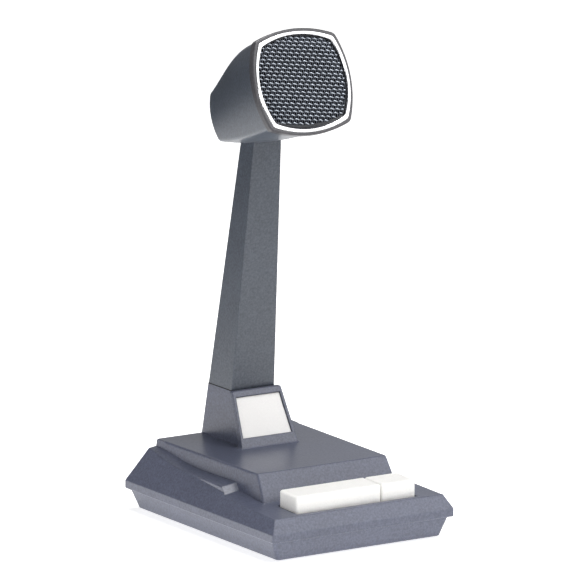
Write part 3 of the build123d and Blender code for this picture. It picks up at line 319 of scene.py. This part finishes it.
LOOKS = {
    "cover_plastic": dict(colour=(81, 85, 102), shade=0.25, rough=(0.28, 0.34), specular=0.6,
                          grain=900.0, grain_depth=0.08, grain_strength=0.7, blotch=26.0,
                          edge=0.7),
    "column_paint": dict(colour=(74, 80, 90), shade=0.27, rough=(0.28, 0.36), specular=0.55,
                         grain=900.0, grain_depth=0.08, grain_strength=0.7, blotch=26.0,
                         edge=0.5),
    "key_plastic": dict(colour=(246, 244, 240), shade=0.03, rough=(0.34, 0.46), specular=0.35,
                        grain=1100.0, grain_depth=0.02, grain_strength=0.25, edge=0.6,
                        scatter=0.5),
    "plate_enamel": dict(colour=(245, 243, 241), shade=0.02, rough=(0.34, 0.46), specular=0.4,
                         grain=1300.0, grain_depth=0.01, grain_strength=0.2),
    "bright_trim": dict(colour=(236, 236, 238), shade=0.03, rough=(0.1, 0.2), metallic=1.0,
                        grain=900.0, grain_depth=0.01, grain_strength=0.12),
    # Darker copy of the column's paint for the bezel: painted shade on the lip round the ring.
    "bezel_paint_shaded": dict(colour=(72, 71, 75), shade=0.22, rough=(0.3, 0.38), specular=0.5,
                        grain=900.0, grain_depth=0.08, grain_strength=0.7, blotch=26.0),
    "grille_metal": dict(colour=(32, 35, 41), shade=0.25, rough=(0.4, 0.5), specular=0.4,
                         grain=1500.0, grain_depth=0.03, grain_strength=0.3),
    # One wire metal in two copies: dark for the warps as painted shade, light for the wefts as
    # painted highlight.
    "warp_wire_shaded": dict(colour=(76, 80, 88), shade=0.12, rough=(0.3, 0.4), metallic=1.0,
                      grain=1500.0, grain_depth=0.02, grain_strength=0.2),
    "weft_wire_lit": dict(colour=(164, 170, 179), shade=0.12, rough=(0.24, 0.36), metallic=1.0,
                      grain=1500.0, grain_depth=0.02, grain_strength=0.2),
    "foam": dict(colour=(22, 23, 26), shade=0.35, rough=(0.85, 0.95), specular=0.2,
                 grain=1400.0, grain_depth=0.3, grain_strength=0.9),
    "rubber": dict(colour=(32, 32, 34), shade=0.2, rough=(0.6, 0.8), specular=0.35,
                   grain=900.0, grain_depth=0.05, grain_strength=0.4),
    "black_plastic": dict(colour=(30, 31, 34), shade=0.2, rough=(0.4, 0.55), specular=0.45,
                          grain=1300.0, grain_depth=0.04, grain_strength=0.4),
    "steel": dict(colour=(176, 178, 182), shade=0.12, rough=(0.24, 0.38), metallic=1.0,
                  grain=900.0, grain_depth=0.02, grain_strength=0.25, stretch=(1.0, 1.0, 8.0)),
    "ballast_iron": dict(colour=(74, 74, 78), shade=0.25, rough=(0.5, 0.7), metallic=0.8,
                         grain=500.0, grain_depth=0.08, grain_strength=0.5),
    "board_laminate": dict(colour=(58, 92, 62), shade=0.18, rough=(0.35, 0.5),
                           grain=700.0, grain_depth=0.03, grain_strength=0.3),
    "sleeve": dict(colour=(40, 60, 104), shade=0.12, rough=(0.3, 0.45),
                   grain=900.0, grain_depth=0.02, grain_strength=0.2),
    "capsule_metal": dict(colour=(158, 156, 150), shade=0.12, rough=(0.28, 0.4), metallic=1.0,
                          grain=900.0, grain_depth=0.02, grain_strength=0.25),
}


def dress_nodes():
    """Looks for the CAD nodes' slots, by the slots' names, and for the bezel a darker copy of the
    column's paint that paints the shade on its lip.
    """
    looks = {name: finish(name + "_look", **values) for name, values in LOOKS.items()}
    for name, node in frame["nodes"].items():
        for slot in node.material_slots:
            plain = slot.material.name.split(".")[0]
            if plain in looks:
                slot.material = looks[plain]
            else:
                print("no look for", name, plain)
    # The bezel takes the darker copy of the paint, as painted shade on its lip.
    frame["nodes"]["head_bezel"].material_slots[0].material = looks["bezel_paint_shaded"]
    return looks


# Edges and springs, with lengths in millimetres

WELD_REACH = 0.01
EDGE_SEGMENTS = 2
EDGE_ANGLE = math.radians(30.0)
PLATE_EDGE = 0.2


def soften(name, width):
    """Small rounding, by modifiers, of the sharp edges of a CAD node, whose own mesh stays."""
    node = frame["nodes"][name]
    weld = node.modifiers.new("weld", "WELD")
    weld.merge_threshold = WELD_REACH * MM
    edge = node.modifiers.new("edge", "BEVEL")
    edge.width = width * MM
    edge.segments = EDGE_SEGMENTS
    edge.limit_method = "ANGLE"
    edge.angle_limit = EDGE_ANGLE
    edge.harden_normals = True


def shorten_springs():
    """Gives each node that a key's joint deforms its own copy of its mesh."""
    for joint in frame["record"]["behaviour"]["joints"]:
        for entry in joint.get("deforming_nodes", []):
            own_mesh(frame["nodes"][entry["node"]])


# Head face, with lengths in millimetres but for the centre

FACE_CENTRE = Vector((0.0, -13.9, 242.95)) * MM
FACE_TILT = math.radians(19.94)
FACE_RIGHT = Vector((1.0, 0.0, 0.0))
FACE_UP = Vector((0.0, math.sin(FACE_TILT), math.cos(FACE_TILT)))
FACE_BACK = Vector((0.0, math.cos(FACE_TILT), -math.sin(FACE_TILT)))

WEFT_PITCH = 2.085
WARP_PITCH = 1.213
TWILL = 3
TWILL_SWING = 1.5
TWILL_BIAS = 0.3
WEAVE_TURN = math.radians(-7.66)
WEFT_HALF = (0.36, 0.22)
WARP_HALF = (0.3, 0.18)
WEFT_WAVE = 0.3
WARP_WAVE = 0.22
WEFT_SWAY = 0.2
MESH_EDGE_DEPTH = 1.65
MESH_CROWN = 1.5
MESH_ROLL = 8.0
MESH_CURVE = 2.2
MESH_MARGIN = 0.1
MESH_END_SHARE = 0.85
# Widths of the dark band that paints the shade inside the ring, widest at the foot.
BAND_WIDTH_TOP = 1.0
BAND_WIDTH_FOOT = 3.0
BAND_GROWTH = 3
BAND_MARGIN = 0.1
WIRE_ROWS = 24
WIRE_STEP = 0.28
WIRE_SHORTEST = 3.0
WIRE_SIDES = 8
SPAN_REACH = 36
SPAN_STEPS_PER_MM = 10
OUTLINE_PLACES = 96
OUTLINE_REACH = 40.0
OUTLINE_HALVINGS = 30

# Shares of the shade band's width, and depths behind the bezel's front.
BAND_PROFILE = ((0.0, 1.75), (0.0, 1.12), (0.5, 1.02), (0.86, 0.7), (1.0, 1.0), (0.9, 1.75))

# The foam's side as insets and depths, then its front as shares of the last inset's outline.
FOAM_SIDE = ((0.7, 4.9), (0.45, 4.6), (0.35, 3.6), (0.6, 2.9), (1.5, 2.45))
FOAM_FRONT_SHARES = (0.85, 0.68, 0.5, 0.32, 0.16)
FOAM_BEHIND_MESH = 0.85
FOAM_FRONT = 0.9


def face_point(u, v, depth):
    """Place on the head's face: right, up and back from the bezel's front, in millimetres."""
    return FACE_CENTRE + (FACE_RIGHT * u + FACE_UP * v + FACE_BACK * depth) * MM


def hull(points):
    """Convex outline round a set of places in a plane, anticlockwise."""
    points = sorted(points)

    def bend(a, b, c):
        return (b[0] - a[0]) * (c[1] - a[1]) - (b[1] - a[1]) * (c[0] - a[0])

    def half(row):
        chain = []
        for p in row:
            while len(chain) > 1 and bend(chain[-2], chain[-1], p) <= 0:
                chain.pop()
            chain.append(p)
        return chain[:-1]
    return half(points) + half(points[::-1])


def face_outline(node):
    """Convex outline of a CAD node, seen square to the head's face, in millimetres."""
    points = set()
    for vertex in node.data.vertices:
        away = (vertex.co - FACE_CENTRE) / MM
        points.add((round(away.dot(FACE_RIGHT), 3), round(away.dot(FACE_UP), 3)))
    return hull(points)


def inside_by(outline, u, v):
    """How far a place lies inside the convex outline."""
    best = math.inf
    for (ax, ay), (bx, by) in zip(outline, outline[1:] + outline[:1]):
        length = math.hypot(bx - ax, by - ay)
        best = min(best, ((bx - ax) * (v - ay) - (by - ay) * (u - ax)) / length)
    return best


def mesh_depth(outline, u, v):
    """Depth of the domed mesh behind the bezel's front."""
    share = min(max(inside_by(outline, u, v), 0.0) / MESH_ROLL, 1.0)
    return MESH_EDGE_DEPTH - MESH_CROWN * (1.0 - (1.0 - share) ** MESH_CURVE)


def join_rings(bm, rings):
    """Faces between each ring of corners and the next."""
    count = len(rings[0])
    for first, second in zip(rings, rings[1:]):
        for s in range(count):
            t = (s + 1) % count
            bm.faces.new((first[s], first[t], second[t], second[s]))


def add_wire(bm, path, half_wide, half_thick, across):
    """Flattened wire along a path of places; across is the direction of its width."""
    rings = []
    for k, place in enumerate(path):
        ahead = (path[min(k + 1, len(path) - 1)] - path[max(k - 1, 0)]).normalized()
        out = ahead.cross(across).normalized()
        ring = []
        for s in range(WIRE_SIDES):
            turn = 2.0 * math.pi * s / WIRE_SIDES
            ring.append(bm.verts.new(place + (across * math.cos(turn) * half_wide
                                              + out * math.sin(turn) * half_thick) * MM))
        rings.append(ring)
    join_rings(bm, rings)
    bm.faces.new(rings[0][::-1])
    bm.faces.new(rings[-1])


def spans(outline, start, along):
    """First and last distance along a straight wire inside the outline."""
    inside = []
    last = SPAN_REACH * SPAN_STEPS_PER_MM
    for step in range(-last, last + 1):
        x = step / SPAN_STEPS_PER_MM
        u, v = start[0] + along[0] * x, start[1] + along[1] * x
        if inside_by(outline, u, v) > MESH_MARGIN + MESH_END_SHARE * shade_band_inset(u, v):
            inside.append(x)
    return (inside[0], inside[-1]) if inside else (0.0, 0.0)


def twill(phase):
    """Height of a weft wire over two warps and under the third."""
    return max(-1.0, min(1.0, TWILL_SWING * math.cos(2.0 * math.pi * phase) + TWILL_BIAS))


def make_weave(outline):
    """Twill mesh of flattened wires, turned a little in the head and domed forward."""
    bm = bmesh.new()
    along = (math.cos(WEAVE_TURN), math.sin(WEAVE_TURN))
    across = (-along[1], along[0])
    repeat = TWILL * WARP_PITCH
    weft_faces = 0
    for weft in (True, False):
        for row in range(-WIRE_ROWS, WIRE_ROWS + 1):
            pitch = WEFT_PITCH if weft else WARP_PITCH
            shift = pitch * (row if weft else row + 0.5)
            run, side = (along, across) if weft else (across, along)
            start = (side[0] * shift, side[1] * shift)
            low, high = spans(outline, start, run)
            if high - low < WIRE_SHORTEST:
                continue
            count = int((high - low) / WIRE_STEP)
            path = []
            for k in range(count + 1):
                x = low + (high - low) * k / count
                u, v = start[0] + run[0] * x, start[1] + run[1] * x
                if weft:
                    phase = (x - WARP_PITCH * row) / repeat
                    lift = WEFT_WAVE * twill(phase)
                    v -= WEFT_SWAY * math.sin(2.0 * math.pi * phase)
                else:
                    crossed = WEFT_PITCH * (row - 1)
                    lift = -WARP_WAVE * twill((x - crossed) / (TWILL * WEFT_PITCH) + 0.5)
                path.append(face_point(u, v, mesh_depth(outline, u, v) - lift))
            width = FACE_RIGHT * side[0] + FACE_UP * side[1]
            add_wire(bm, path, *(WEFT_HALF if weft else WARP_HALF), width)
        if weft:
            weft_faces = len(bm.faces)
    # Warp faces take the second slot, the dark copy of the wire metal that paints their shade.
    bm.faces.ensure_lookup_table()
    for face in bm.faces[weft_faces:]:
        face.material_index = 1
    bmesh.ops.recalc_face_normals(bm, faces=bm.faces)
    return add_mesh("woven_grille", bm)


def add_mesh(name, bm, smooth=True):
    data = bpy.data.meshes.new(name)
    bm.to_mesh(data)
    bm.free()
    if smooth:
        data.polygons.foreach_set("use_smooth", [True] * len(data.polygons))
    piece = bpy.data.objects.new(name, data)
    bpy.context.scene.collection.objects.link(piece)
    return piece


def inset_outline(outline, amount):
    """Outline drawn towards its middle by an amount, as evenly turned places."""
    places = []
    for k in range(OUTLINE_PLACES):
        turn = 2.0 * math.pi * k / OUTLINE_PLACES
        near, far = 0.0, OUTLINE_REACH
        for _ in range(OUTLINE_HALVINGS):
            middle = (near + far) / 2.0
            if inside_by(outline, middle * math.cos(turn), middle * math.sin(turn)) > amount:
                near = middle
            else:
                far = middle
        places.append((near * math.cos(turn), near * math.sin(turn)))
    return places


def shade_band_inset(u, v):
    """Width of the dark band inside the ring that paints the shade where the mesh sinks behind it,
    widest at the foot of the face.
    """
    down = max(0.0, -v / math.hypot(u, v)) if u or v else 0.0
    return BAND_WIDTH_TOP + (BAND_WIDTH_FOOT - BAND_WIDTH_TOP) * down ** BAND_GROWTH


def make_shade_band(outline):
    """Dark pressed band between the ring and the mesh, as painted shade where the mesh sinks
    behind the ring.
    """
    bm = bmesh.new()
    outer = inset_outline(outline, BAND_MARGIN)
    rings = []
    for share, depth in BAND_PROFILE:
        ring = []
        for u, v in outer:
            reach = math.hypot(u, v)
            inset = shade_band_inset(u, v) * share
            u2, v2 = u * (1.0 - inset / reach), v * (1.0 - inset / reach)
            ring.append(bm.verts.new(face_point(u2, v2, depth)))
        rings.append(ring)
    join_rings(bm, rings + rings[:1])
    bmesh.ops.recalc_face_normals(bm, faces=bm.faces)
    return add_mesh("grille_shade_band", bm)


def make_foam(outline):
    """Dust screen: crowned front, soft shoulder, flat back."""
    bm = bmesh.new()
    shells = []
    for inset, depth in FOAM_SIDE:
        edge = inset_outline(outline, inset)
        shells.append([bm.verts.new(face_point(u, v, depth)) for u, v in edge])
    for share in FOAM_FRONT_SHARES:
        ring = []
        for u, v in edge:
            depth = max(mesh_depth(outline, u * share, v * share) + FOAM_BEHIND_MESH, FOAM_FRONT)
            ring.append(bm.verts.new(face_point(u * share, v * share, depth)))
        shells.append(ring)
    join_rings(bm, shells)
    bm.faces.new(shells[0][::-1])
    bm.faces.new(shells[-1])
    bmesh.ops.recalc_face_normals(bm, faces=bm.faces)
    return add_mesh("foam_screen", bm)


# Painted shadow of the foot joint, with lengths in millimetres

# Sizes of the dark strip that paints the joint's shadow.
SEAM_SLICE = 0.01
SEAM_HALF = 0.3
SEAM_PROUD = 0.08
SEAM_DEPTH = 0.5


def make_shadow_seam():
    """Dark strip round the column's foot that paints the shadow in the joint where the column
    stands on the pedestal.
    """
    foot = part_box("column")[0][2]
    around = hull({(round(v.co.x / MM, 2), round(v.co.y / MM, 2))
                   for v in frame["nodes"]["column"].data.vertices
                   if v.co.z < foot + SEAM_SLICE * MM})
    middle = sum(y for _, y in around) / len(around)
    reach = max(x for x, _ in around)
    bm = bmesh.new()
    rings = []
    for out, up in ((SEAM_PROUD, -SEAM_HALF), (SEAM_PROUD, SEAM_HALF),
                    (-SEAM_DEPTH, SEAM_HALF), (-SEAM_DEPTH, -SEAM_HALF)):
        share = 1.0 + out / reach
        rings.append([bm.verts.new((x * share * MM, (middle + (y - middle) * share) * MM,
                                    foot + up * MM)) for x, y in around])
    join_rings(bm, rings + rings[:1])
    bmesh.ops.recalc_face_normals(bm, faces=bm.faces)
    return add_mesh("foot_shadow_seam", bm, smooth=False)


# Making

make_camera()
make_world()
make_floor()
for lamp_name, lamp_values in LAMPS.items():
    make_lamp(lamp_name, *lamp_values)
looks = dress_nodes()
soften("name_plate", PLATE_EDGE)
shorten_springs()

outline = face_outline(frame["nodes"]["grille"])
weave = make_weave(outline)
# Painted light on the weave: wefts take the light copy of the wire metal, warps the dark copy.
weave.data.materials.append(looks["weft_wire_lit"])
weave.data.materials.append(looks["warp_wire_shaded"])
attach(weave, "base")
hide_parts("grille")

# Painted shade: a dark band in the grille's paint inside the ring, where the mesh sinks into
# shadow.
ring_shade_piece = make_shade_band(outline)
ring_shade_piece.data.materials.append(looks["grille_metal"])
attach(ring_shade_piece, "base")

# Painted shadow: a dark strip in the rubber look round the column's foot, where the joint holds
# only shade.
shadow_seam = make_shadow_seam()
shadow_seam.data.materials.append(looks["rubber"])
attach(shadow_seam, "base")

foam = make_foam(outline)
foam.data.materials.append(looks["foam"])
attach(foam, "base")
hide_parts("foam_pad")

bpy.context.scene.view_settings.view_transform = "Standard"
